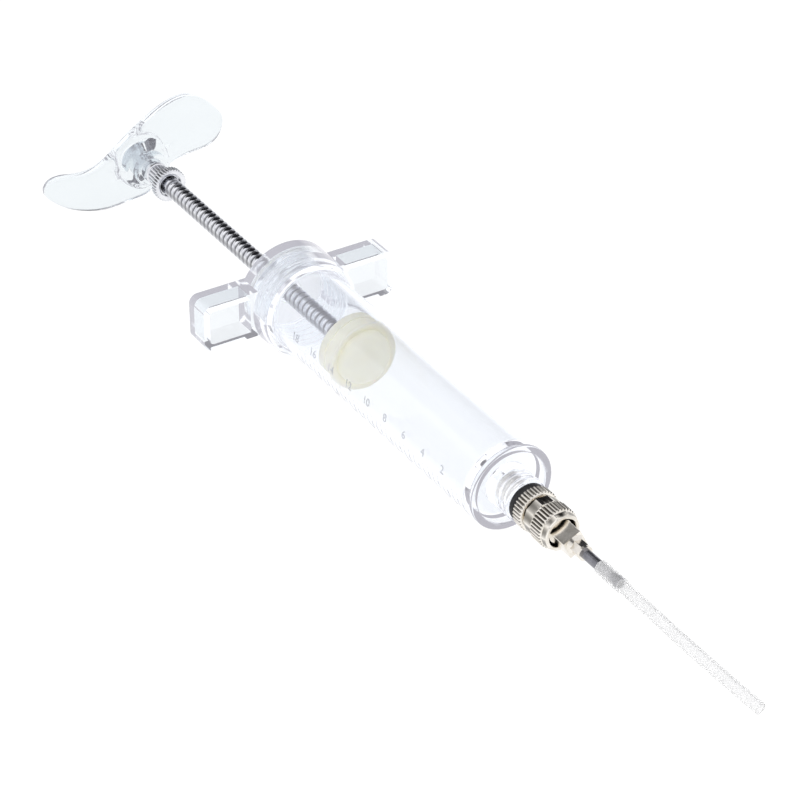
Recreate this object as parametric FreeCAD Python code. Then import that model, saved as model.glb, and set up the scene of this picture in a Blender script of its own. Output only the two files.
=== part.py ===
import FreeCAD, Part
import math
import os

# Clear-barrelled dose syringe with a soft feeding tube, lying on its side.
# Millimetres.  The syringe axis runs along X with the tube at +X and the palm handle
# at -X.  Stations along the axis are measured from the back face of the screw cap,
# and place() then moves every piece so that the origin is at the bottom centre.

Vec = FreeCAD.Vector
AXIS = Vec(1, 0, 0)

# ---- fits ----
running_gap = 0.05      # radial, between pieces that turn or slide on each other
thread_gap = 0.06       # radial, stands in for the threads' play

# ---- barrel ----
bore_r = 8.92           # 250 mm2, so 4 mm of travel is 1 ml
barrel_r = 10.5
barrel_back = 3.6       # back end of the barrel, inside the cap
barrel_front = 99.3     # front rim
bore_end = 95.1
end_wall = 1.9
rim_rise = 0.05         # over the barrel
rim_length = 3.2
rim_wall = 1.9
boss_r = 5.3
boss_front = 104.9
barrel_thread_rise = 0.6
outlet_r = 1.1

# ---- screw cap with finger wings ----
cap_wall = 1.84         # round the thread
cap_front_step = 0.7
cap_length = 13.2
cap_back_wall = 2.4
cap_rod_gap = 0.3
wing_span = 52.5
wing_height = 12.2
wing_depth = 7.2
wing_wall = 1.6
wing_web = 1.3
wing_corner_r = 2.2
washer_thickness = 0.9
washer_rod_gap = 0.65

# ---- piston rod ----
rod_r = 2.45
rod_flat_depth = 0.12   # of each of the four flats
rod_back = -69.2
rod_front = 31.4
rod_tail_r = 1.9
rod_tail_length = 8.0
rod_stud_r = 2.0
rod_stud_length = 6.6

# ---- piston ----
back_plate_gap = 0.72
back_plate_thickness = 2.2
seal_length = 4.6
seal_waist_gap = 0.92
lip_gap = 0.03
seal_hub_r = 4.6
lip_length = 1.3
nose_gap = 1.32
nose_disc = 1.2
nose_dome = 2.8

# ---- dose stop on the rod ----
sleeve_back = -67.4
sleeve_length = 8.6
sleeve_wall = 0.6
sleeve_collar_rise = 0.25
sleeve_collar_length = 1.3
ring_wall = 1.45
ring_length = 2.6
ring_lip = 0.5
ring_recess = 0.8

# ---- palm handle ----
handle_half_span = 26.7
handle_roll = 10.9      # degrees the handle is turned on the rod from the wings
handle_mid_top = 9.2
handle_mid_bottom = -10.1
# outline of each lobe: (share of half span, top edge, bottom edge)
far_lobe = [(0.22, 11.3, -6.4), (0.45, 12.2, -5.2), (0.66, 11.1, -6.3), (0.83, 7.2, -6.5), (0.95, 2.2, -4.6)]
near_lobe = [(0.22, 6.3, -10.2), (0.45, 3.4, -9.9), (0.66, 3.2, -8.3), (0.83, 4.2, -5.7), (0.95, 3.2, -2.4)]
far_tip_height = -1.3
near_tip_height = 0.7
lobe_thickness = 3.4
lobe_edge_r = 1.2
lobe_root_x = -76.0     # middle of the thickness at the rod
lobe_sweep = 4.7        # how far the tips lie behind the root
hub_back_x = -79.6
boss_front_x = -68.9
hub_half_width = 6.2
hub_half_height = 6.4
handle_boss_r = 4.6
gusset_thickness = 3.0
gusset_reach = 15.0
pin_r = 0.9
pin_half_length = 5.4
pin_x = -74.4
pin_turn = 50.0         # degrees from the handle's span
insert_r = 3.0
insert_length = 7.4

# ---- nozzle fitting and its lock ring ----
gasket_r = 4.75
gasket_thickness = 2.0
stem_r = 3.0
stem_length = 6.6
collar_r = 5.1
collar_length = 3.0
collar_teeth = 36
tooth_depth = 0.28
neck_r = 2.9
lock_gap = 0.5
lock_flat_r = 4.75
lock_flat_length = 3.0
lock_flats = 10
lock_knurl_r = 5.0
lock_knurl_length = 3.9
lock_nose_length = 1.7
lock_mouth_r = 3.5
lock_rim_r = 4.1
lock_back_wall = 1.8
swage_r = 3.35
swage_length = 0.6
cone_base_r = 2.1
cone_tip_r = 1.98
channel_r = 0.9
shank_r = 1.9

# ---- needle hub and cannula ----
hub_socket_r = 2.95
lug_r = 3.35
lug_length = 1.0
hub_square = 4.8
hub_square_start = 118.0
hub_square_end = 123.7
hub_square_turn = 26.0
hub_neck_flats = 3.2
hub_neck_end = 126.8
hub_collar_r = 1.75
hub_end = 127.5
cannula_r = 1.2
cannula_bore_r = 0.9
cannula_back = 121.4
cannula_end = 140.3

# ---- feeding tube ----
tube_r = 1.4
tube_bore_r = 0.95
tube_stretched_r = 1.63
tube_start = 133.0
tube_neck = 1.4         # length over which the stretched end comes down to size
tube_points = [
    Vec(133.0, 0, 0),
    Vec(149.0, 0, 0),
    Vec(167.3, 0.35, -0.95),
    Vec(185.4, 1.75, -2.3),
]

# ---- worked out from the values above ----
barrel_thread_end = cap_length
gasket_front = boss_front + gasket_thickness
collar_front = gasket_front + collar_length
lock_back = collar_front + lock_gap
lock_knurl_start = lock_back + lock_flat_length
lock_knurl_end = lock_knurl_start + lock_knurl_length
lock_front = lock_knurl_end + lock_nose_length
swage_start = lock_back + lock_back_wall + running_gap
cone_start = swage_start + swage_length
cone_end = hub_square_start - 0.6
lip_r = bore_r - lip_gap
seal_waist_r = bore_r - seal_waist_gap
back_plate_r = bore_r - back_plate_gap
nose_r = bore_r - nose_gap
rim_r = barrel_r + rim_rise
barrel_thread_r = barrel_r + barrel_thread_rise
cap_r = barrel_thread_r + thread_gap + cap_wall
cap_front_r = cap_r - cap_front_step
cap_rod_hole_r = rod_r + cap_rod_gap
washer_hole_r = rod_r + washer_rod_gap
rod_flats = 2 * (rod_r - rod_flat_depth)
sleeve_r = rod_r + sleeve_wall
sleeve_collar_r = sleeve_r + sleeve_collar_rise
ring_r = sleeve_r + ring_wall


def place(shape, middle_x):
    shape = shape.copy()
    shape.translate(Vec(-middle_x, 0, cap_r))
    return shape


def save(name, shape, middle_x):
    placed = place(shape, middle_x)
    placed.exportStep("parts/" + name + ".step")
    box = placed.BoundBox
    print("%-20s solids %d volume %9.2f  x %7.2f..%7.2f  z %6.2f..%6.2f valid %s" % (
        name, len(placed.Solids), placed.Volume, box.XMin, box.XMax, box.ZMin, box.ZMax, placed.isValid()))


def rod_between(start, end, radius):
    return Part.makeCylinder(radius, end - start, Vec(start, 0, 0), AXIS)


def ring_between(start, end, outer, inner):
    return rod_between(start, end, outer).cut(rod_between(start - 1, end + 1, inner))


def cone_between(start, end, start_radius, end_radius):
    return Part.makeCone(start_radius, end_radius, end - start, Vec(start, 0, 0), AXIS)


def turned(outline):
    """Solid of revolution about the axis from (station, radius) points."""
    points = [Vec(x, r, 0) for x, r in outline]
    wire = Part.makePolygon(points + points[:1])
    return Part.Face(wire).revolve(Vec(0, 0, 0), AXIS, 360)


def prism(start, end, across_flats, sides, turn=0.0):
    """Regular prism along the axis; turn is the angle of one flat's normal from +Y."""
    corner = across_flats / 2 / math.cos(math.pi / sides)
    points = []
    for i in range(sides):
        angle = math.radians(turn) + math.pi / sides + 2 * math.pi * i / sides
        points.append(Vec(start, corner * math.cos(angle), corner * math.sin(angle)))
    return Part.Face(Part.makePolygon(points + points[:1])).extrude(Vec(end - start, 0, 0))


def knurled(start, end, radius, teeth):
    """Cylinder with straight V flutes."""
    points = []
    for i in range(2 * teeth):
        r = radius if i % 2 == 0 else radius - tooth_depth
        angle = math.pi * i / teeth
        points.append(Vec(start, r * math.cos(angle), r * math.sin(angle)))
    return Part.Face(Part.makePolygon(points + points[:1])).extrude(Vec(end - start, 0, 0))


def make_barrel():
    body = rod_between(barrel_back, barrel_front, barrel_r)
    body = body.fuse(rod_between(barrel_back, barrel_thread_end, barrel_thread_r))
    rim = turned([
        (barrel_front - rim_length, 0), (barrel_front - rim_length, barrel_r),
        (barrel_front - rim_length + 1.0, rim_r), (barrel_front - 0.4, rim_r),
        (barrel_front, rim_r - 0.4), (barrel_front, 0)])
    body = body.fuse(rim)
    body = body.cut(rod_between(barrel_back - 1, bore_end, bore_r))
    body = body.cut(rod_between(bore_end + end_wall, barrel_front + 1, rim_r - rim_wall))
    boss = rod_between(bore_end, boss_front, boss_r)
    body = body.fuse(boss)
    body = body.cut(rod_between(boss_front - stem_length, boss_front + 1, stem_r))
    body = body.cut(rod_between(bore_end - 1, boss_front, outlet_r))
    return body.removeSplitter()


def wing(side):
    reach = wing_span / 2
    plate = Part.makeBox(wing_depth, reach, wing_height, Vec(0, 0, -wing_height / 2))
    tip_edges = []
    for edge in plate.Edges:
        middle = edge.CenterOfMass
        if abs(middle.y - reach) < 0.01 and abs(abs(middle.z) - wing_height / 2) < 0.01:
            tip_edges.append(edge)
    plate = plate.makeFillet(wing_corner_r, tip_edges)
    pocket_start = cap_r + 0.6
    pocket = Part.makeBox(
        wing_depth, reach - wing_wall - pocket_start, wing_height - 2 * wing_wall,
        Vec(wing_web, pocket_start, -wing_height / 2 + wing_wall))
    pocket_edges = []
    for edge in pocket.Edges:
        middle = edge.CenterOfMass
        if abs(middle.y - (reach - wing_wall)) < 0.01 and abs(abs(middle.z) - wing_height / 2 + wing_wall) < 0.01:
            pocket_edges.append(edge)
    pocket = pocket.makeFillet(wing_corner_r - 1.2, pocket_edges)
    plate = plate.cut(pocket)
    if side < 0:
        plate = plate.mirror(Vec(0, 0, 0), Vec(0, 1, 0))
    return plate


def make_cap():
    shell = turned([
        (0, 0), (0, cap_r - 0.6), (0.6, cap_r), (wing_depth, cap_r - 0.1),
        (cap_length - 0.5, cap_front_r), (cap_length, cap_front_r - 0.5), (cap_length, 0)])
    body = shell.fuse(wing(1)).fuse(wing(-1))
    body = body.cut(rod_between(cap_back_wall, cap_length + 1, barrel_thread_r + thread_gap))
    body = body.cut(rod_between(-1, cap_back_wall + 1, cap_rod_hole_r))
    return body.removeSplitter()


def make_cap_washer():
    start = cap_back_wall + running_gap
    return ring_between(start, start + washer_thickness, barrel_thread_r - 0.2, washer_hole_r)


def make_rod():
    body = rod_between(rod_back, rod_front, rod_r)
    body = body.common(prism(rod_back - 1, rod_front + 1, rod_flats, 4, 45))
    body = body.fuse(rod_between(rod_back - rod_tail_length, rod_back, rod_tail_r))
    body = body.fuse(rod_between(rod_front, rod_front + rod_stud_length, rod_stud_r))
    return body.cut(make_handle_pin()).removeSplitter()


def make_piston_back_plate():
    return ring_between(rod_front, rod_front + back_plate_thickness, back_plate_r, rod_stud_r)


def make_piston_seal():
    start = rod_front + back_plate_thickness
    end = start + seal_length
    return turned([
        (start, seal_hub_r), (start, seal_waist_r), (end - lip_length, seal_waist_r + 0.2),
        (end - 0.5, lip_r), (end, lip_r), (end, lip_r - 0.7),
        (end - lip_length, seal_waist_r - 1.2), (end - lip_length, seal_hub_r)])


def make_piston_core():
    start = rod_front + back_plate_thickness
    return ring_between(start, start + seal_length - lip_length, seal_hub_r, rod_stud_r)


def make_piston_nose():
    disc = rod_front + back_plate_thickness + seal_length - lip_length
    front = disc + nose_disc
    body = turned([
        (disc, 0), (disc, nose_r - 1.2), (front, nose_r - 0.8), (front + nose_dome * 0.3, nose_r - 1.2),
        (front + nose_dome * 0.6, nose_r - 2.3), (front + nose_dome * 0.85, nose_r - 4.1),
        (front + nose_dome, nose_r - 6.0), (front + nose_dome, 0)])
    return body.cut(rod_between(disc - 1, rod_front + rod_stud_length, rod_stud_r))


def make_dose_sleeve():
    end = sleeve_back + sleeve_length
    body = rod_between(sleeve_back, end - ring_length - ring_lip, sleeve_r)
    body = body.fuse(rod_between(sleeve_back, sleeve_back + sleeve_collar_length, sleeve_collar_r))
    body = body.fuse(rod_between(sleeve_back, end - ring_recess, sleeve_r - 0.2))
    return body.cut(rod_between(sleeve_back - 1, end + 1, rod_r + running_gap)).removeSplitter()


def make_dose_ring():
    end = sleeve_back + sleeve_length
    start = end - ring_length
    body = knurled(start, end, ring_r, 34)
    return body.cut(rod_between(start - 1, end + 1, sleeve_r - 0.2 + running_gap)).removeSplitter()


def handle_outline():
    """Front view of the handle: two rounded lobes, the far one taller than the near one."""
    points = [(0.0, handle_mid_top)]
    points += [(share * handle_half_span, top) for share, top, bottom in far_lobe]
    points.append((handle_half_span, far_tip_height))
    points += [(share * handle_half_span, bottom) for share, top, bottom in reversed(far_lobe)]
    points.append((0.0, handle_mid_bottom))
    points += [(-share * handle_half_span, bottom) for share, top, bottom in near_lobe]
    points.append((-handle_half_span, near_tip_height))
    points += [(-share * handle_half_span, top) for share, top, bottom in reversed(near_lobe)]
    curve = Part.BSplineCurve()
    curve.interpolate([Vec(lobe_root_x - 20, y, z) for y, z in points], PeriodicFlag=True)
    return Part.Face(Part.Wire(curve.toShape())).extrude(Vec(40, 0, 0))


def handle_plan():
    """Top view of the lobes: an even thickness, swept back towards the tips."""
    reach = handle_half_span + 1.0
    shares = [-1.0, -0.75, -0.5, -0.25, 0.0, 0.25, 0.5, 0.75, 1.0]
    edges = []
    for side in (-1, 1):
        points = []
        for share in shares:
            back = lobe_sweep * abs(share) ** 2.2
            points.append(Vec(lobe_root_x - back + side * lobe_thickness / 2, share * reach, 0))
        curve = Part.BSplineCurve()
        curve.interpolate(points)
        edges.append(curve.toShape())
    for share in (-1, 1):
        y = share * reach
        x = lobe_root_x - lobe_sweep
        edges.append(Part.makeLine(Vec(x - lobe_thickness / 2, y, 0), Vec(x + lobe_thickness / 2, y, 0)))
    face = Part.Face(Part.Wire(Part.__sortEdges__(edges)))
    face.translate(Vec(0, 0, -30))
    return face.extrude(Vec(0, 0, 60))


def handle_hub():
    """Rounded block behind the boss, deeper than the lobes."""
    depth = boss_front_x - 2.0 - hub_back_x
    block = Part.makeBox(
        depth, 2 * hub_half_width, 2 * hub_half_height, Vec(hub_back_x, -hub_half_width, -hub_half_height))
    long_edges = [e for e in block.Edges if e.BoundBox.XLength > depth / 2]
    block = block.makeFillet(4.5, long_edges)
    rims = [e for e in block.Edges if e.BoundBox.XLength < 0.01]
    return block.makeFillet(1.6, rims)


def make_handle():
    body = handle_plan().common(handle_outline())
    rims = [e for e in body.Edges if e.Length > handle_half_span]
    body = body.makeFillet(lobe_edge_r, rims)
    body = body.fuse(handle_hub())
    body = body.fuse(rod_between(lobe_root_x, boss_front_x, handle_boss_r))
    gusset = Part.makePolygon([
        Vec(lobe_root_x - 0.6, -gusset_reach, 0), Vec(boss_front_x - 2.2, -3.0, 0),
        Vec(boss_front_x - 2.2, 3.0, 0), Vec(lobe_root_x - 0.6, gusset_reach, 0),
        Vec(lobe_root_x - 0.6, -gusset_reach, 0)])
    gusset = Part.Face(gusset)
    gusset.translate(Vec(0, 0, -gusset_thickness / 2))
    body = body.fuse(gusset.extrude(Vec(0, 0, gusset_thickness)))
    body = body.cut(rod_between(rod_back - rod_tail_length - 0.6, boss_front_x + 1, insert_r))
    body = body.cut(handle_pin_hole())
    body.rotate(Vec(0, 0, 0), AXIS, handle_roll)
    return body.removeSplitter()


def handle_pin_hole():
    pin = Part.makeCylinder(pin_r, 2 * pin_half_length, Vec(pin_x, 0, -pin_half_length), Vec(0, 0, 1))
    pin.rotate(Vec(pin_x, 0, 0), AXIS, pin_turn - 90)
    return pin


def make_handle_pin():
    pin = handle_pin_hole()
    pin.rotate(Vec(0, 0, 0), AXIS, handle_roll)
    return pin


def make_handle_insert():
    body = ring_between(rod_back - insert_length, rod_back, insert_r, rod_tail_r)
    return body.cut(make_handle_pin())


def make_nozzle_gasket():
    body = ring_between(boss_front, gasket_front, gasket_r, stem_r)
    edges = [e for e in body.Edges if abs(e.BoundBox.YLength / 2 - gasket_r) < 0.01 and e.BoundBox.XLength < 0.01]
    return body.makeFillet(0.6, edges)


def make_nozzle_stem():
    """Threaded stem with the knurled collar, bored for the luer cone's shank."""
    body = rod_between(boss_front - stem_length, gasket_front, stem_r)
    body = body.fuse(knurled(gasket_front, collar_front, collar_r, collar_teeth))
    body = body.fuse(rod_between(collar_front, swage_start, neck_r))
    body = body.cut(rod_between(gasket_front, swage_start + 1, shank_r))
    return body.cut(rod_between(boss_front - stem_length - 1, gasket_front + 1, channel_r)).removeSplitter()


def make_luer_cone():
    """Cone that the needle hub sits on; its shoulder keeps the lock ring on the stem."""
    body = rod_between(gasket_front, swage_start, shank_r)
    body = body.fuse(rod_between(swage_start, cone_start, swage_r))
    body = body.fuse(cone_between(cone_start, cone_end, cone_base_r, cone_tip_r))
    return body.cut(rod_between(gasket_front - 1, cone_end + 1, channel_r)).removeSplitter()


def make_lock_ring():
    body = prism(lock_back, lock_knurl_start, 2 * lock_flat_r * math.cos(math.pi / lock_flats), lock_flats, 10)
    body = body.fuse(knurled(lock_knurl_start, lock_knurl_end, lock_knurl_r, 36))
    nose = cone_between(lock_knurl_end, lock_front, lock_flat_r, lock_rim_r)
    nose = nose.common(prism(lock_knurl_end, lock_front, 2 * lock_flat_r * math.cos(math.pi / lock_flats), lock_flats, 10))
    body = body.fuse(nose)
    body = body.cut(rod_between(lock_back + lock_back_wall, lock_front + 1, lock_mouth_r))
    return body.cut(rod_between(lock_back - 1, lock_front, neck_r + running_gap)).removeSplitter()


def make_needle_hub():
    socket_start = cone_start + 1.2
    body = rod_between(socket_start, hub_square_start, hub_socket_r)
    body = body.fuse(rod_between(socket_start, socket_start + lug_length, lug_r))
    square = prism(hub_square_start - 0.5, hub_square_end, hub_square, 4, hub_square_turn)
    body = body.fuse(square.common(rod_between(hub_square_start - 0.5, hub_square_end, hub_square * 0.69)))
    body = body.fuse(cone_between(hub_square_end, hub_square_end + 0.8, hub_square / 2, hub_neck_flats / 2))
    body = body.fuse(prism(hub_square_end, hub_neck_end, hub_neck_flats, 6, hub_square_turn))
    body = body.fuse(rod_between(hub_neck_end, hub_end, hub_collar_r))
    cone_gap = running_gap
    socket = cone_between(socket_start - 0.5, cone_end + 0.4, cone_base_r + cone_gap, cone_tip_r + cone_gap)
    body = body.cut(socket)
    body = body.cut(rod_between(cone_end, cannula_back, cannula_bore_r))
    return body.cut(rod_between(cannula_back, hub_end + 1, cannula_r)).removeSplitter()


def make_cannula():
    return ring_between(cannula_back, cannula_end, cannula_r, cannula_bore_r)


def tube_path():
    """Straight runs joined by tangent arcs as large as the runs allow."""
    edges = []
    start = tube_points[0]
    for i in range(1, len(tube_points) - 1):
        corner = tube_points[i]
        back = tube_points[i - 1] - corner
        ahead = tube_points[i + 1] - corner
        shorter = min(back.Length, ahead.Length)
        turn = math.pi - back.getAngle(ahead)
        radius = 0.45 * shorter / math.tan(turn / 2)
        reach = 0.45 * shorter
        print("tube bend %d radius %.1f turn %.2f deg" % (i, radius, math.degrees(turn)))
        back.normalize()
        ahead.normalize()
        first = corner + back * reach
        last = corner + ahead * reach
        middle = back + ahead
        middle.normalize()
        middle = corner + middle * (radius / math.cos(turn / 2) - radius)
        edges.append(Part.makeLine(start, first))
        edges.append(Part.Arc(first, middle, last).toShape())
        start = last
    edges.append(Part.makeLine(start, tube_points[-1]))
    return Part.Wire(edges)


def make_feeding_tube():
    path = tube_path()
    outer = Part.Wire(Part.makeCircle(tube_r, tube_points[0], AXIS))
    inner = Part.Wire(Part.makeCircle(tube_bore_r, tube_points[0], AXIS))
    body = path.makePipeShell([outer], True, False)
    print("tube volume %.3f section x length %.3f length %.2f" % (
        body.Volume, math.pi * tube_r ** 2 * path.Length, path.Length))
    body = body.cut(path.makePipeShell([inner], True, False))
    body = body.fuse(rod_between(tube_start, cannula_end + 0.1, tube_stretched_r))
    body = body.fuse(cone_between(cannula_end + 0.1, cannula_end + 0.1 + tube_neck, tube_stretched_r, tube_r))
    body = body.cut(rod_between(tube_start - 1, cannula_end, cannula_r))
    return body.cut(cone_between(cannula_end, cannula_end + tube_neck, cannula_r, tube_bore_r)).removeSplitter()


def main():
    os.makedirs("parts", exist_ok=True)
    handle = make_handle()
    middle_x = (handle.optimalBoundingBox().XMin + cannula_end) / 2
    print("origin is at station %.3f" % middle_x)
    save("barrel", make_barrel(), middle_x)
    save("screw_cap", make_cap(), middle_x)
    save("cap_washer", make_cap_washer(), middle_x)
    save("piston_rod", make_rod(), middle_x)
    save("piston_back_plate", make_piston_back_plate(), middle_x)
    save("piston_seal", make_piston_seal(), middle_x)
    save("piston_core", make_piston_core(), middle_x)
    save("piston_nose", make_piston_nose(), middle_x)
    save("dose_sleeve", make_dose_sleeve(), middle_x)
    save("dose_ring", make_dose_ring(), middle_x)
    save("palm_handle", handle, middle_x)
    save("handle_insert", make_handle_insert(), middle_x)
    save("handle_pin", make_handle_pin(), middle_x)
    save("nozzle_gasket", make_nozzle_gasket(), middle_x)
    save("nozzle_stem", make_nozzle_stem(), middle_x)
    save("luer_cone", make_luer_cone(), middle_x)
    save("lock_ring", make_lock_ring(), middle_x)
    save("needle_hub", make_needle_hub(), middle_x)
    save("cannula", make_cannula(), middle_x)
    save("feeding_tube", make_feeding_tube(), middle_x)


main()
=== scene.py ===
import math
import bpy
import bmesh
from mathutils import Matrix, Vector


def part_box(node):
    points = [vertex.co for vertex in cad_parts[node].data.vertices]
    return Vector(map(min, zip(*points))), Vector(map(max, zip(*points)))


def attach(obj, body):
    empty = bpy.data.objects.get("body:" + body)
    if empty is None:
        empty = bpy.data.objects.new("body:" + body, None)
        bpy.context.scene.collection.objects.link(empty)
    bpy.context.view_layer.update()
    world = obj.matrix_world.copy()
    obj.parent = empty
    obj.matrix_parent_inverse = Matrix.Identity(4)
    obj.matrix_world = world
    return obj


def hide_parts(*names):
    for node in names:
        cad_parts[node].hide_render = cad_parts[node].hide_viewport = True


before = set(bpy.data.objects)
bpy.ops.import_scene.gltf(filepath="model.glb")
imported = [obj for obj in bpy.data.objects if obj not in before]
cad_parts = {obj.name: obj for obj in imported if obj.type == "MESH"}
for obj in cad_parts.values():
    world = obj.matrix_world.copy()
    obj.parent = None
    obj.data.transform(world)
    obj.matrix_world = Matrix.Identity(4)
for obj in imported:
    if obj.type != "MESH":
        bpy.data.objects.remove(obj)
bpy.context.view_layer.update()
capLow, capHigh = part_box("screw_cap")
backFace = capLow[0]
axisHeight = (capLow[2] + capHigh[2]) / 2
mm = 0.001
pitch = 2.0  # of every thread, in mm


def at(x, y=0.0, z=0.0):
    # x is the station in mm along the axis from the cap's back face, y and z are offsets from the axis
    return Vector((backFace + x * mm, y * mm, axisHeight + z * mm))


# eye is a station and two offsets, as at() takes them; look is the direction of view
cameraPlace = dict(eye=(525.4, -292.6, 364.9), look=(-0.7089, 0.439, -0.552), lens=130.3)
cameraData = bpy.data.cameras.new("camera")
cameraData.lens = cameraPlace["lens"]
cameraData.sensor_width = 36.0
cameraData.clip_start = 0.01
cameraData.clip_end = 20.0
camera = bpy.data.objects.new("camera", cameraData)
camera.location = at(*cameraPlace["eye"])
camera.rotation_euler = Vector(cameraPlace["look"]).to_track_quat("-Z", "Y").to_euler()
bpy.context.collection.objects.link(camera)
bpy.context.scene.camera = camera
print("camera placed")


def newMaterial(name):
    material = bpy.data.materials.new(name)
    material.use_nodes = True
    nodes = material.node_tree.nodes
    return material, nodes, material.node_tree.links, nodes["Principled BSDF"]


def setAll(shader, **values):
    for name, value in values.items():
        shader.inputs[name.replace("_", " ")].default_value = value


def ramp(nodes, stops):
    node = nodes.new("ShaderNodeValToRGB")
    while len(node.color_ramp.elements) < len(stops):
        node.color_ramp.elements.new(0.5)
    for element, (place, colour) in zip(node.color_ramp.elements, stops):
        element.position = place
        element.color = (*colour, 1)
    return node


def newGroup(name, inputs, outputs):
    group = bpy.data.node_groups.new(name, "ShaderNodeTree")
    for label, kind, value in inputs:
        socket = group.interface.new_socket(label, in_out="INPUT", socket_type=kind)
        socket.default_value = value
    for label, kind in outputs:
        group.interface.new_socket(label, in_out="OUTPUT", socket_type=kind)
    return group, group.nodes.new("NodeGroupInput"), group.nodes.new("NodeGroupOutput")


def makeSurfaceGroup():
    # uneven moulding or polishing: a soft ripple, a fine grain, and the normal that both give
    group, inputs, outputs = newGroup(
        "unevenSurface",
        [("Ripple Scale", "NodeSocketFloat", 180.0), ("Grain Scale", "NodeSocketFloat", 2600.0),
         ("Ripple", "NodeSocketFloat", 0.1), ("Grain", "NodeSocketFloat", 0.05)],
        [("Ripple", "NodeSocketFloat"), ("Grain", "NodeSocketFloat"), ("Normal", "NodeSocketVector")])
    nodes, links = group.nodes, group.links
    place = nodes.new("ShaderNodeTexCoord")
    layers = []
    for scale, detail in (("Ripple Scale", 2.0), ("Grain Scale", 4.0)):
        texture = nodes.new("ShaderNodeTexNoise")
        texture.inputs["Detail"].default_value = detail
        links.new(place.outputs["Object"], texture.inputs["Vector"])
        links.new(inputs.outputs[scale], texture.inputs["Scale"])
        layers.append(texture.outputs["Fac"])
    bumps = []
    for layer, strength in zip(layers, ("Ripple", "Grain")):
        bump = nodes.new("ShaderNodeBump")
        bump.inputs["Distance"].default_value = 0.0004
        links.new(layer, bump.inputs["Height"])
        links.new(inputs.outputs[strength], bump.inputs["Strength"])
        if bumps:
            links.new(bumps[-1].outputs["Normal"], bump.inputs["Normal"])
        bumps.append(bump)
    links.new(layers[0], outputs.inputs["Ripple"])
    links.new(layers[1], outputs.inputs["Grain"])
    links.new(bumps[-1].outputs["Normal"], outputs.inputs["Normal"])
    return group


surfaceGroup = makeSurfaceGroup()


def addSurface(nodes, links, shader, **values):
    node = nodes.new("ShaderNodeGroup")
    node.node_tree = surfaceGroup
    for name, value in values.items():
        node.inputs[name.replace("_", " ")].default_value = value
    links.new(node.outputs["Normal"], shader.inputs["Normal"])
    return node


def roughnessFrom(nodes, links, shader, value, low, high):
    spread = nodes.new("ShaderNodeMapRange")
    spread.inputs["From Min"].default_value = 0.3
    spread.inputs["From Max"].default_value = 0.7
    spread.inputs["To Min"].default_value = low
    spread.inputs["To Max"].default_value = high
    links.new(value, spread.inputs["Value"])
    links.new(spread.outputs["Result"], shader.inputs["Roughness"])


def clearPlastic(name, face, edge, rough, ripple, glow):
    # face is the tint seen square on; edge is painted edge shade at a glancing angle, standing in for the
    # darker refracted edges; glow is painted light that lifts the dark edges
    material, nodes, links, shader = newMaterial(name)
    setAll(shader, Metallic=0.0, IOR=1.42, Transmission_Weight=1.0, Specular_IOR_Level=0.5)
    setAll(shader, Emission_Color=(0.93, 0.91, 1.0, 1), Emission_Strength=glow)
    surface = addSurface(nodes, links, shader,
                         Ripple_Scale=160.0, Grain_Scale=1500.0, Ripple=ripple, Grain=0.01)
    weight = nodes.new("ShaderNodeLayerWeight")
    weight.inputs["Blend"].default_value = 0.35
    # painted edge shade: the ramp turns to the edge colour at glancing angles
    tint = ramp(nodes, [(0.0, face), (0.7, face), (1.0, edge)])
    links.new(weight.outputs["Facing"], tint.inputs["Fac"])
    links.new(tint.outputs["Color"], shader.inputs["Base Color"])
    roughnessFrom(nodes, links, shader, surface.outputs["Ripple"], rough[0], rough[1])
    return material


def plating(name, bright, dull, rough, grain, paintedShadeColour):
    # the value stored on the vertices paints shade into grooves and hollows, in the plating's last colour
    material, nodes, links, shader = newMaterial(name)
    setAll(shader, Metallic=1.0)
    surface = addSurface(nodes, links, shader,
                         Ripple_Scale=420.0, Grain_Scale=3800.0, Ripple=0.04, Grain=grain)
    tint = ramp(nodes, [(0.35, dull), (0.62, bright)])
    links.new(surface.outputs["Ripple"], tint.inputs["Fac"])
    stored = nodes.new("ShaderNodeAttribute")
    stored.attribute_name = "paintedShade"
    mix = nodes.new("ShaderNodeMix")
    mix.data_type = "RGBA"
    mix.inputs[7].default_value = (*paintedShadeColour, 1)
    links.new(stored.outputs["Fac"], mix.inputs["Factor"])
    links.new(tint.outputs["Color"], mix.inputs[6])
    links.new(mix.outputs[2], shader.inputs["Base Color"])
    roughnessFrom(nodes, links, shader, surface.outputs["Grain"], rough[0], rough[1])
    return material


def softRubber(name, light, dark, rough, transmission, subsurface, glow=0.0):
    material, nodes, links, shader = newMaterial(name)
    setAll(shader, Metallic=0.0, IOR=1.42, Transmission_Weight=transmission, Subsurface_Weight=subsurface)
    setAll(shader, Subsurface_Radius=(0.004, 0.0035, 0.002), Subsurface_Scale=1.0)
    setAll(shader, Emission_Color=(*light, 1), Emission_Strength=glow)
    surface = addSurface(nodes, links, shader,
                         Ripple_Scale=300.0, Grain_Scale=2400.0, Ripple=0.06, Grain=0.04)
    tint = ramp(nodes, [(0.3, dark), (0.7, light)])
    links.new(surface.outputs["Ripple"], tint.inputs["Fac"])
    links.new(tint.outputs["Color"], shader.inputs["Base Color"])
    roughnessFrom(nodes, links, shader, surface.outputs["Grain"], rough[0], rough[1])
    return material


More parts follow.
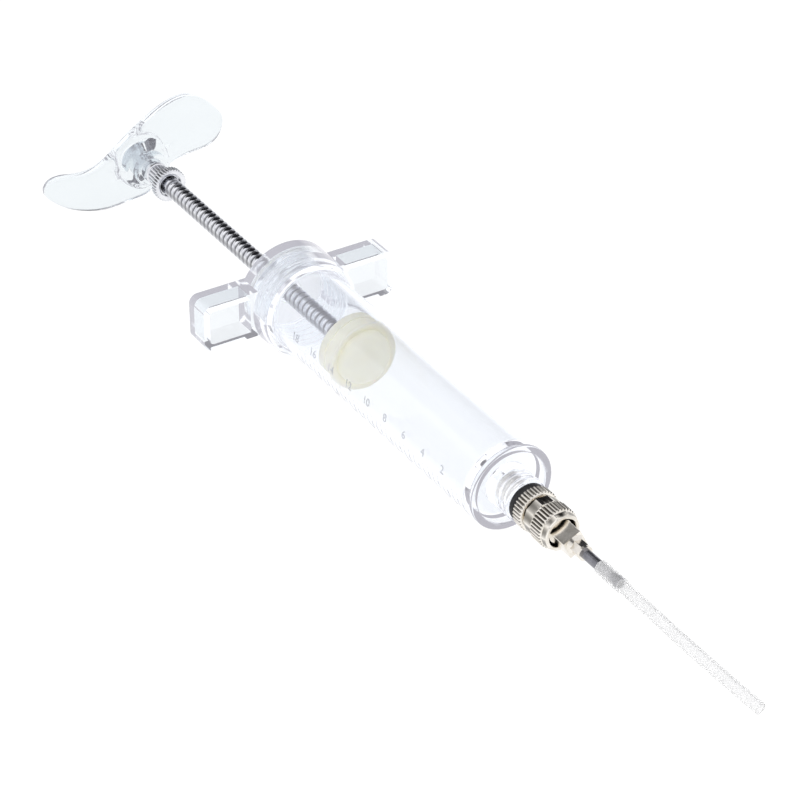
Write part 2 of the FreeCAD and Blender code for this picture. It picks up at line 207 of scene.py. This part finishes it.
barrelPlastic = clearPlastic(
    "barrelPlastic", face=(0.83, 0.85, 0.865), edge=(0.82, 0.81, 0.86), rough=(0.02, 0.05), ripple=0.02,
    glow=0.08)
capPlastic = clearPlastic(
    "capPlastic", face=(0.72, 0.75, 0.76), edge=(0.78, 0.77, 0.81), rough=(0.03, 0.07), ripple=0.03,
    glow=0.1)
handlePlastic = clearPlastic(
    "handlePlastic", face=(0.72, 0.76, 0.77), edge=(0.5, 0.5, 0.6), rough=(0.03, 0.06), ripple=0.04,
    glow=0.07)
markPlastic = clearPlastic(
    "markPlastic", face=(0.5, 0.52, 0.54), edge=(0.5, 0.5, 0.55), rough=(0.2, 0.35), ripple=0.05,
    glow=0.08)
# each plating's last colour is painted shade in its thread, knurl and flute roots
chrome = plating(
    "chrome", bright=(0.84, 0.85, 0.88), dull=(0.72, 0.73, 0.77), rough=(0.07, 0.16), grain=0.02,
    paintedShadeColour=(0.07, 0.07, 0.08))
nickel = plating(
    "nickel", bright=(0.92, 0.88, 0.82), dull=(0.78, 0.74, 0.67), rough=(0.12, 0.22), grain=0.03,
    paintedShadeColour=(0.05, 0.045, 0.035))
steel = plating(
    "steel", bright=(0.3, 0.3, 0.33), dull=(0.2, 0.2, 0.22), rough=(0.22, 0.36), grain=0.05,
    paintedShadeColour=(0.05, 0.05, 0.05))
pistonRubber = softRubber(
    "pistonRubber", light=(0.95, 0.93, 0.8), dark=(0.92, 0.89, 0.74), rough=(0.3, 0.42), transmission=0.15,
    subsurface=0.4, glow=0.13)
pistonPlastic = softRubber(
    "pistonPlastic", light=(0.94, 0.93, 0.82), dark=(0.9, 0.88, 0.75), rough=(0.3, 0.45), transmission=0.3,
    subsurface=0.3, glow=0.13)
gasketRubber = softRubber(
    "gasketRubber", light=(0.012, 0.012, 0.013), dark=(0.007, 0.007, 0.008), rough=(0.35, 0.5),
    transmission=0.0, subsurface=0.0)
washerRubber = softRubber(
    "washerRubber", light=(0.93, 0.93, 0.94), dark=(0.9, 0.9, 0.91), rough=(0.3, 0.4), transmission=0.8,
    subsurface=0.1, glow=0.14)
tubeRubber = softRubber(
    "tubeRubber", light=(0.93, 0.93, 0.93), dark=(0.91, 0.91, 0.91), rough=(0.24, 0.32), transmission=0.74,
    subsurface=0.0, glow=0.08)
print("materials made")


def finishMesh(name, mesh, material, sharp=38.0):
    mesh.validate()
    for polygon in mesh.polygons:
        polygon.use_smooth = True
    mesh.set_sharp_from_angle(angle=math.radians(sharp))
    piece = bpy.data.objects.new(name, mesh)
    bpy.context.collection.objects.link(piece)
    mesh.materials.append(material)
    return piece


def settle(piece, body, slot, *nodes):
    if nodes:
        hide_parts(*nodes)
    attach(piece, body)


def soften(outline, size):
    # each corner of a closed outline becomes a short curve
    result = []
    count = len(outline)
    for i in range(count):
        before, here, after = outline[i - 1], outline[i], outline[(i + 1) % count]
        corner = Vector(here[:2])
        back = Vector(before[:2]) - corner
        ahead = Vector(after[:2]) - corner
        reach = min(size, back.length * 0.45, ahead.length * 0.45)
        if reach < 0.01 or abs(here[1]) < 1e-6:
            result.append(here)
            continue
        first = corner + back.normalized() * reach
        last = corner + ahead.normalized() * reach
        for share in (0.0, 0.3, 0.7, 1.0):
            point = first * (1 - share) ** 2 + corner * 2 * share * (1 - share) + last * share ** 2
            result.append((point.x, point.y) + tuple(here[2:]))
    return result


def paintedShadeShare(tag, cut, fullShadeDepth):
    # how much painted shade a point gets, from how far its groove is cut below the outline; a dark tag gets
    # full painted shade
    if tag == "dark":
        return 1.0
    return min(1.0, max(0.0, cut / fullShadeDepth)) if tag else 0.0


def revolve(name, outline, material, segments=128, shape=None, sharp=38.0, fullShadeDepth=0.3):
    # outline is a closed list of (station, radius, tag) in mm; the last argument is the groove depth that
    # gets full painted shade
    mesh = bpy.data.meshes.new(name)
    build = bmesh.new()
    paintedShade = build.verts.layers.float.new("paintedShade")
    rings = []
    for point in outline:
        station, radius = point[0], point[1]
        tag = point[2] if len(point) > 2 else ""
        ring = []
        for k in range(segments):
            angle = 2 * math.pi * k / segments
            r = shape(tag, station, radius, angle) if shape and tag else radius
            vertex = build.verts.new(at(station, r * math.cos(angle), r * math.sin(angle)))
            # painted shade in groove roots and in dark-tagged hollows, stored for the plating materials
            vertex[paintedShade] = paintedShadeShare(tag, radius - r, fullShadeDepth)
            ring.append(vertex)
        rings.append(ring)
    for i in range(len(rings)):
        first, second = rings[i], rings[(i + 1) % len(rings)]
        for k in range(segments):
            n = (k + 1) % segments
            build.faces.new((first[k], second[k], second[n], first[n]))
    bmesh.ops.remove_doubles(build, verts=build.verts, dist=1e-7)
    bmesh.ops.dissolve_degenerate(build, edges=build.edges, dist=1e-8)
    bmesh.ops.recalc_face_normals(build, faces=build.faces)
    build.to_mesh(mesh)
    build.free()
    return finishMesh(name, mesh, material, sharp)


def helix(station, angle, rounding, middle=0.5):
    # 0 in the thread's root and 1 on its crest; a lower middle makes a narrower root
    phase = (station / pitch - angle / (2 * math.pi)) % 1.0
    lift = 1 - abs(2 * phase - 1)
    return min(1.0, max(0.0, (lift - middle) / rounding + 0.5))


def steps(start, end, count, radius, tag):
    return [(start + (end - start) * i / count, radius, tag) for i in range(count + 1)]


# the tube is stretched over the cannula for the length grip, and narrows over the length taper
tube = dict(radius=1.4, bore=0.95, stretched=1.63, stretchedBore=1.21, grip=7.4, taper=1.6, sides=40)
tubeRoute = [(133.0, 0, 0), (149.0, 0, 0), (167.3, 0.35, -0.95), (185.4, 1.75, -2.3)]


def tubeLine():
    curve = bpy.data.curves.new("tubeLine", "CURVE")
    curve.dimensions = "3D"
    spline = curve.splines.new("NURBS")
    spline.points.add(len(tubeRoute) - 1)
    for point, place in zip(spline.points, tubeRoute):
        point.co = (*at(*place), 1.0)
    spline.order_u = 3
    spline.use_endpoint_u = True
    spline.resolution_u = 24
    holder = bpy.data.objects.new("tubeLine", curve)
    bpy.context.collection.objects.link(holder)
    points = [v.co.copy() for v in bpy.data.meshes.new_from_object(holder).vertices]
    bpy.data.objects.remove(holder)
    return points


def makeTube():
    line = tubeLine()
    sides = tube["sides"]
    mesh = bpy.data.meshes.new("feedingTube")
    build = bmesh.new()
    outer, inner = [], []
    gone = 0.0
    for i, centre in enumerate(line):
        ahead = (line[min(i + 1, len(line) - 1)] - line[max(i - 1, 0)]).normalized()
        side = ahead.cross(Vector((0, 0, 1))).normalized()
        up = side.cross(ahead)
        if i:
            gone += (centre - line[i - 1]).length / mm
        share = min(1.0, max(0.0, (gone - tube["grip"]) / tube["taper"]))
        share = share * share * (3 - 2 * share)
        radius = tube["stretched"] + (tube["radius"] - tube["stretched"]) * share
        bore = tube["stretchedBore"] + (tube["bore"] - tube["stretchedBore"]) * share
        for rings, r in ((outer, radius), (inner, bore)):
            ring = []
            for k in range(sides):
                angle = 2 * math.pi * k / sides
                outward = side * math.cos(angle) + up * math.sin(angle)
                ring.append(build.verts.new(centre + outward * r * mm))
            rings.append(ring)
    for rings in (outer, inner):
        for first, second in zip(rings, rings[1:]):
            for k in range(sides):
                n = (k + 1) % sides
                build.faces.new((first[k], second[k], second[n], first[n]))
    for end in (0, -1):
        for k in range(sides):
            n = (k + 1) % sides
            build.faces.new((outer[end][k], outer[end][n], inner[end][n], inner[end][k]))
    bmesh.ops.recalc_face_normals(build, faces=build.faces)
    build.to_mesh(mesh)
    build.free()
    piece = finishMesh("feedingTube", mesh, tubeRubber)
    settle(piece, "needle_body", "silicone", "feeding_tube")


makeTube()


barrel = dict(back=3.6, front=99.3, outer=10.5, bore=8.92, boreEnd=95.1, wall=1.9, rim=10.55, rimBack=96.3,
              recess=8.85, boss=5.3, bossFront=104.9, stem=3.0, stemDepth=6.6, outlet=1.1, threadEnd=12.6,
              backEdge=10.6, threadRoot=10.62, threadRise=0.42, threadTop=11.0, bossThread=0.22)


def barrelShape(tag, station, radius, angle):
    if tag == "thread":
        return barrel["threadRoot"] + barrel["threadRise"] * helix(station, angle, 0.5)
    if tag == "inside":
        return radius - barrel["bossThread"] * helix(station, angle, 0.6)
    return radius


def makeBarrel():
    b = barrel
    wallFront = b["boreEnd"] + b["wall"]
    outline = [(b["back"], b["bore"]), (b["back"], b["backEdge"])]
    outline += steps(b["back"] + 0.3, b["threadEnd"], 90, b["threadTop"], "thread")
    outline += soften([
        (b["threadEnd"] + 0.3, b["outer"]), (b["rimBack"] - 0.2, b["outer"]), (b["rimBack"], b["rim"]),
        (b["front"], b["rim"]), (b["front"], b["recess"]), (wallFront, b["recess"]), (wallFront, b["boss"]),
        (b["bossFront"], b["boss"]), (b["bossFront"], b["stem"])], 0.35)
    outline += steps(b["bossFront"] - 0.3, b["bossFront"] - b["stemDepth"], 40, b["stem"] + 0.2, "inside")
    outline += [(b["bossFront"] - b["stemDepth"], b["outlet"]), (b["boreEnd"], b["outlet"]),
                (b["boreEnd"], b["bore"] - 0.6), (b["boreEnd"] - 0.5, b["bore"])]
    piece = revolve("barrelTube", outline, barrelPlastic, 160, barrelShape)
    settle(piece, "barrel_body", "clear_plastic", "barrel")
    print("barrel made")


makeBarrel()


# long, middle and short are the ticks' lengths and angle their common start, in degrees round the barrel
scale = dict(zero=95.1, step=8.0, count=9, volume=2, radius=10.52, angle=196.0, long=26, middle=18, short=12,
             width=0.22, numberAngle=177.0, height=2.9, tall=0.05)


def wrapped(mesh, radius):
    # x runs along the axis and y round the barrel, both in mm
    for vertex in mesh.vertices:
        angle = math.radians(scale["numberAngle"]) - vertex.co.y / radius
        r = radius + vertex.co.z
        vertex.co = at(vertex.co.x, r * math.cos(angle), r * math.sin(angle))


def tick(build, station, first, last):
    count = max(2, int((last - first) / 4))
    rows = []
    for k in range(count + 1):
        angle = math.radians(first + (last - first) * k / count)
        row = []
        for side, r in ((-1, scale["radius"]), (-1, scale["radius"] + scale["tall"]),
                        (1, scale["radius"] + scale["tall"]), (1, scale["radius"])):
            place = at(station + side * scale["width"] / 2, r * math.cos(angle), r * math.sin(angle))
            row.append(build.verts.new(place))
        rows.append(row)
    for first, second in zip(rows, rows[1:]):
        for k in range(4):
            n = (k + 1) % 4
            build.faces.new((first[k], second[k], second[n], first[n]))
    build.faces.new(rows[0])
    build.faces.new(rows[-1][::-1])


def makeScale():
    mesh = bpy.data.meshes.new("scaleTicks")
    build = bmesh.new()
    for k in range(scale["count"] * 4 + 1):
        station = scale["zero"] - scale["step"] * k / 4
        reach = scale["long"] if k % 4 == 0 else scale["middle"] if k % 2 == 0 else scale["short"]
        tick(build, station, scale["angle"], scale["angle"] + reach)
    bmesh.ops.recalc_face_normals(build, faces=build.faces)
    build.to_mesh(mesh)
    build.free()
    ticks = finishMesh("scaleTicks", mesh, markPlastic)
    settle(ticks, "barrel_body", "clear_plastic")
    for k in range(1, scale["count"] + 1):
        text = bpy.data.curves.new("number", "FONT")
        text.body = str(scale["volume"] * k)
        text.size = scale["height"]
        text.align_x = "CENTER"
        text.extrude = scale["tall"]
        holder = bpy.data.objects.new("number", text)
        bpy.context.collection.objects.link(holder)
        shape = bpy.data.meshes.new_from_object(holder)
        bpy.data.objects.remove(holder)
        for vertex in shape.vertices:
            vertex.co = Vector((vertex.co.x + scale["zero"] - scale["step"] * k, vertex.co.y, vertex.co.z))
        wrapped(shape, scale["radius"])
        number = finishMesh("scaleNumber%d" % (scale["volume"] * k), shape, markPlastic)
        settle(number, "barrel_body", "clear_plastic")
    print("scale made")


makeScale()


# the tail goes into the handle and the stud into the piston; flats is half the width across the flats
rod = dict(back=-69.2, front=31.4, crest=2.45, depth=0.3, flats=2.24, turn=0.0, tail=8.0, tailRadius=1.9,
           stud=6.6, studRadius=2.0)


def flatLimit(angle, half, turn, sides=4):
    step = 2 * math.pi / sides
    off = (angle - math.radians(turn) + step / 2) % step - step / 2
    return half / math.cos(off)


def rodShape(tag, station, radius, angle):
    thread = rod["crest"] - rod["depth"] * (1 - helix(station, angle, 0.4, 0.36))
    return min(thread, flatLimit(angle, rod["flats"], rod["turn"]))


def makeRod():
    length = rod["front"] - rod["back"]
    tailEnd = rod["back"] - rod["tail"]
    studEnd = rod["front"] + rod["stud"]
    outline = [(tailEnd, 0.0), (tailEnd, rod["tailRadius"]), (rod["back"], rod["tailRadius"])]
    outline += steps(rod["back"] + 0.05, rod["front"] - 0.05, int(length * 7), rod["crest"], "thread")
    outline += [(rod["front"], rod["studRadius"]), (studEnd, rod["studRadius"]), (studEnd, 0.0)]
    piece = revolve("threadedRod", outline, chrome, 96, rodShape, 50.0, 0.36)
    settle(piece, "rod_body", "chromed_rod", "piston_rod")
    print("rod made")


makeRod()


stop = dict(back=-67.4, length=8.6, bore=2.5, sleeve=2.85, flutes=18, collar=3.1, collarLength=1.3,
            spigot=2.8, ring=4.5, ringLength=2.6, ringBore=2.92, ringFace=3.9, ringShoulder=4.2,
            ringRecess=3.3, teeth=34)


def teeth(radius, angle, count, depth, top):
    share = (angle * count / (2 * math.pi)) % 1.0
    lift = abs(2 * share - 1)
    return radius - depth * min(1.0, max(0.0, (lift - top) / (1 - top)))


def stopShape(tag, station, radius, angle):
    if tag == "flutes":
        return teeth(radius, angle, stop["flutes"], 0.22, 0.4)
    return teeth(radius, angle, stop["teeth"], 0.3, 0.35)


def makeDoseStop():
    s = stop
    end = s["back"] + s["length"]
    outline = soften([
        (s["back"], s["bore"]), (s["back"], s["collar"]), (s["back"] + s["collarLength"], s["collar"]),
        (s["back"] + s["collarLength"] + 0.2, s["sleeve"] - 0.25)], 0.15)
    outline += [(s["back"] + s["collarLength"] + 0.3, s["sleeve"], "flutes"),
                (end - s["ringLength"] - 0.15, s["sleeve"], "flutes")]
    outline += soften([(end - s["ringLength"] - 0.1, s["spigot"]), (end - 0.8, s["spigot"]),
                       (end - 0.8, s["bore"])], 0.1)
    sleeve = revolve("doseSleeve", outline, chrome, 216, stopShape)
    settle(sleeve, "dose_sleeve_body", "chromed_rod", "dose_sleeve")
    start = end - s["ringLength"]
    outline = [(start, s["ringBore"]), (start, s["ringFace"]), (start + 0.2, s["ringShoulder"]),
               (start + 0.35, s["ring"], "teeth"), (end - 0.35, s["ring"], "teeth"),
               (end - 0.2, s["ringShoulder"]), (end, s["ringFace"]), (end, s["ringRecess"]),
               (end - 0.25, s["ringBore"])]
    ring = revolve("doseRing", outline, chrome, 272, stopShape)
    settle(ring, "dose_ring_body", "chromed_rod", "dose_ring")
    print("dose stop made")


makeDoseStop()


handle = dict(voxel=0.3, rounds=26)


def remade(name, node, voxel, rounds, material):
    # a rounded, evenly meshed copy of a CAD node
    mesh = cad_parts[node].data.copy()
    mesh.materials.clear()
    work = bpy.data.objects.new(name + "Work", mesh)
    bpy.context.collection.objects.link(work)
    remesh = work.modifiers.new("remesh", "REMESH")
    remesh.mode = "VOXEL"
    remesh.voxel_size = voxel * mm
    smooth = work.modifiers.new("smooth", "SMOOTH")
    smooth.factor = 0.5
    smooth.iterations = rounds
    ready = work.evaluated_get(bpy.context.evaluated_depsgraph_get())
    result = bpy.data.meshes.new_from_object(ready)
    result.name = name
    bpy.data.objects.remove(work)
    result.materials.clear()
    return finishMesh(name, result, material, 60.0)


handlePiece = remade("palmRest", "palm_handle", handle["voxel"], handle["rounds"], handlePlastic)
settle(handlePiece, "rod_body", "clear_plastic", "palm_handle")
print("handle made")


# hole is the seal's bore and socket the nose's; a lower roundness makes a flatter dome
piston = dict(start=33.6, length=4.6, hole=4.6, waist=8.0, lip=8.89, nose=6.8, noseBack=6.2, dome=2.8,
              roundness=0.55, domeRings=8, socket=2.02, socketDepth=3.0)


def makePiston():
    p = piston
    end = p["start"] + p["length"]
    disc = end - 1.3
    outline = soften([
        (p["start"], p["hole"]), (p["start"], p["waist"]), (disc - 0.6, p["waist"] - 0.1),
        (end - 0.6, p["lip"]), (end, p["lip"] - 0.1), (end - 0.1, p["lip"] - 0.8),
        (disc, p["waist"] - 1.1), (disc, p["hole"])], 0.4)
    seal = revolve("pistonSeal", outline, pistonRubber, 128)
    settle(seal, "piston_body", "piston_rubber", "piston_seal")
    outline = [(disc, p["socket"]), (disc, p["noseBack"]), (disc + 0.5, p["noseBack"] + 0.5),
               (disc + 1.2, p["nose"])]
    for i in range(1, p["domeRings"]):
        turn = math.pi / 2 * i / p["domeRings"]
        radius = p["nose"] * math.cos(turn) ** p["roundness"]
        outline.append((disc + 1.2 + p["dome"] * math.sin(turn), radius))
    outline.append((disc + 1.2 + p["dome"], 0.0))
    outline += [(disc + p["socketDepth"], 0.0), (disc + p["socketDepth"], p["socket"])]
    nose = revolve("pistonNose", outline, pistonPlastic, 96)
    settle(nose, "piston_body", "piston_plastic", "piston_nose")
    print("piston made")


makePiston()


nozzle = dict(stemBack=98.4, bore=0.92, stem=2.98, gasketFront=106.9, collar=5.1, collarLength=3.0, neck=2.9,
              socket=1.92, teeth=36, toothDepth=0.34)
lockRing = dict(gap=0.5, bore=2.97, flat=4.75, flatLength=3.0, knurl=5.0, knurlLength=3.9, noseLength=1.7,
                mouth=3.5, rim=4.1, sides=10, turn=19.0)


def nozzleShape(tag, station, radius, angle):
    if tag == "knurl":
        return teeth(radius, angle, nozzle["teeth"], nozzle["toothDepth"], 0.3)
    if tag == "flats":
        half = radius * math.cos(math.pi / lockRing["sides"])
        return min(radius, flatLimit(angle, half, lockRing["turn"], lockRing["sides"]))
    return radius


def makeNozzle():
    n = nozzle
    start = n["gasketFront"]
    end = start + n["collarLength"]
    coneBack = end + lockRing["gap"] + 1.85
    outline = [(n["stemBack"], n["bore"]), (n["stemBack"], 2.75)]
    outline += steps(n["stemBack"] + 0.1, start - 0.1, 60, n["stem"], "")
    # the dark-tagged neck gets painted shade where it runs under the lock ring
    outline += [(start, n["stem"]), (start, 4.5), (start + 0.15, 4.75), (start + 0.3, n["collar"], "knurl"),
                (end - 0.3, n["collar"], "knurl"), (end - 0.15, 4.75), (end, 4.5), (end, n["neck"]),
                (end + 0.1, n["neck"], "dark"), (coneBack, n["neck"], "dark"), (coneBack, n["socket"]),
                (start, n["socket"]), (start, n["bore"])]
    stem = revolve("nozzleStem", outline, nickel, 288, nozzleShape)
    settle(stem, "barrel_body", "nickel", "nozzle_stem")
    r = lockRing
    back = end + r["gap"]
    knurl = back + r["flatLength"]
    knurlEnd = knurl + r["knurlLength"]
    front = knurlEnd + r["noseLength"]
    # the dark-tagged mouth and bore get painted shade inside the ring
    outline = [(back, r["bore"]), (back, 4.2), (back + 0.3, r["flat"], "flats"),
               (knurl - 0.25, r["flat"], "flats"), (knurl - 0.05, 4.45), (knurl + 0.1, 4.6),
               (knurl + 0.3, r["knurl"], "knurl"), (knurlEnd - 0.3, r["knurl"], "knurl"),
               (knurlEnd - 0.1, 4.6), (knurlEnd + 0.05, 4.45), (knurlEnd + 0.25, r["flat"], "flats"),
               (front - 0.45, r["flat"] - 0.15, "flats"), (front - 0.12, r["rim"] + 0.2), (front, r["rim"]),
               (front, r["mouth"] + 0.15), (front - 0.2, r["mouth"]), (front - 0.9, r["mouth"], "dark"),
               (back + 1.8, r["mouth"], "dark"), (back + 1.8, r["bore"], "dark"),
               (back + 0.2, r["bore"], "dark")]
    ring = revolve("lockRing", outline, nickel, 360, nozzleShape, 30.0)
    settle(ring, "lock_ring_body", "nickel", "lock_ring")
    print("nozzle made")


makeNozzle()


def dress(node, material, bevel=0.0):
    # a CAD node keeps its mesh; bevel is in mm
    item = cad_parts[node]
    item.data.materials.clear()
    item.data.materials.append(material)
    if bevel:
        edge = item.modifiers.new("edge", "BEVEL")
        edge.width = bevel * mm
        edge.segments = 2
        edge.limit_method = "ANGLE"
        edge.angle_limit = math.radians(40)
        edge.harden_normals = True


dress("screw_cap", capPlastic)
dress("cap_washer", washerRubber)
dress("piston_back_plate", pistonPlastic)
dress("piston_core", pistonPlastic)
dress("handle_insert", handlePlastic)
dress("handle_pin", steel)
dress("nozzle_gasket", gasketRubber)
dress("luer_cone", nickel)
dress("needle_hub", nickel, 0.12)
dress("cannula", steel)
print("CAD nodes finished")


floorPaper = dict(reach=3.0, drop=0.0002, glow=0.93)


def makeFloor():
    mesh = bpy.data.meshes.new("floor")
    reach = floorPaper["reach"]
    corners = [(-reach, -reach, 0), (reach, -reach, 0), (reach, reach, 0), (-reach, reach, 0)]
    mesh.from_pydata(corners, [], [(0, 1, 2, 3)])
    floor = bpy.data.objects.new("floor", mesh)
    floor.location.z = -floorPaper["drop"]
    bpy.context.collection.objects.link(floor)
    material, nodes, links, shader = newMaterial("floorPaper")
    setAll(shader, Roughness=0.9, Specular_IOR_Level=0.1)
    setAll(shader, Emission_Color=(1, 1, 1, 1), Emission_Strength=floorPaper["glow"])
    texture = nodes.new("ShaderNodeTexNoise")
    texture.inputs["Scale"].default_value = 400.0
    tint = ramp(nodes, [(0.3, (0.14, 0.14, 0.14)), (0.7, (0.16, 0.16, 0.16))])
    links.new(texture.outputs["Fac"], tint.inputs["Fac"])
    links.new(tint.outputs["Color"], shader.inputs["Base Color"])
    mesh.materials.append(material)


# each opening is fully dark to the angle inner from its middle and gone at outer, both in degrees
openings = [
    dict(toward=(-0.71, 0.43, 0.55), inner=16, outer=30, dark=(0.03, 0.03, 0.035, 1)),
    dict(toward=(0.75, -0.3, 0.45), inner=6, outer=18, dark=(0.05, 0.05, 0.055, 1)),
    dict(toward=(-0.72, -0.1, 0.69), inner=4, outer=20, dark=(0.2, 0.2, 0.2, 1))]
tentColour = (0.93, 0.93, 0.95, 1)


def makeWorld():
    # a white tent with soft dark openings, which the plating reflects
    world = bpy.data.worlds.new("studio")
    world.use_nodes = True
    nodes, links = world.node_tree.nodes, world.node_tree.links
    background = nodes["Background"]
    place = nodes.new("ShaderNodeTexCoord")
    colour = None
    for opening in openings:
        dot = nodes.new("ShaderNodeVectorMath")
        dot.operation = "DOT_PRODUCT"
        dot.inputs[1].default_value = Vector(opening["toward"]).normalized()
        links.new(place.outputs["Generated"], dot.inputs[0])
        share = nodes.new("ShaderNodeMapRange")
        share.interpolation_type = "SMOOTHSTEP"
        share.inputs["From Min"].default_value = math.cos(math.radians(opening["outer"]))
        share.inputs["From Max"].default_value = math.cos(math.radians(opening["inner"]))
        links.new(dot.outputs["Value"], share.inputs["Value"])
        mix = nodes.new("ShaderNodeMix")
        mix.data_type = "RGBA"
        mix.inputs[6].default_value = tentColour
        mix.inputs[7].default_value = opening["dark"]
        if colour:
            links.new(colour, mix.inputs[6])
        links.new(share.outputs["Result"], mix.inputs["Factor"])
        colour = mix.outputs[2]
    links.new(colour, background.inputs["Color"])
    bpy.context.scene.world = world


softBox = dict(place=(0.2, -0.4, 1.8), target=(0.0, 0.0, 0.0), size=(2.6, 2.6), power=9.0)


def addLight(name, place, target, size, power):
    data = bpy.data.lights.new(name, "AREA")
    data.shape = "RECTANGLE"
    data.size, data.size_y = size
    data.energy = power
    light = bpy.data.objects.new(name, data)
    light.location = place
    light.rotation_euler = (Vector(target) - Vector(place)).to_track_quat("-Z", "Y").to_euler()
    bpy.context.collection.objects.link(light)


makeFloor()
makeWorld()
addLight("softBox", **softBox)
bpy.context.scene.view_settings.view_transform = "Standard"
bpy.context.scene.view_settings.look = "None"
print("floor and light made")
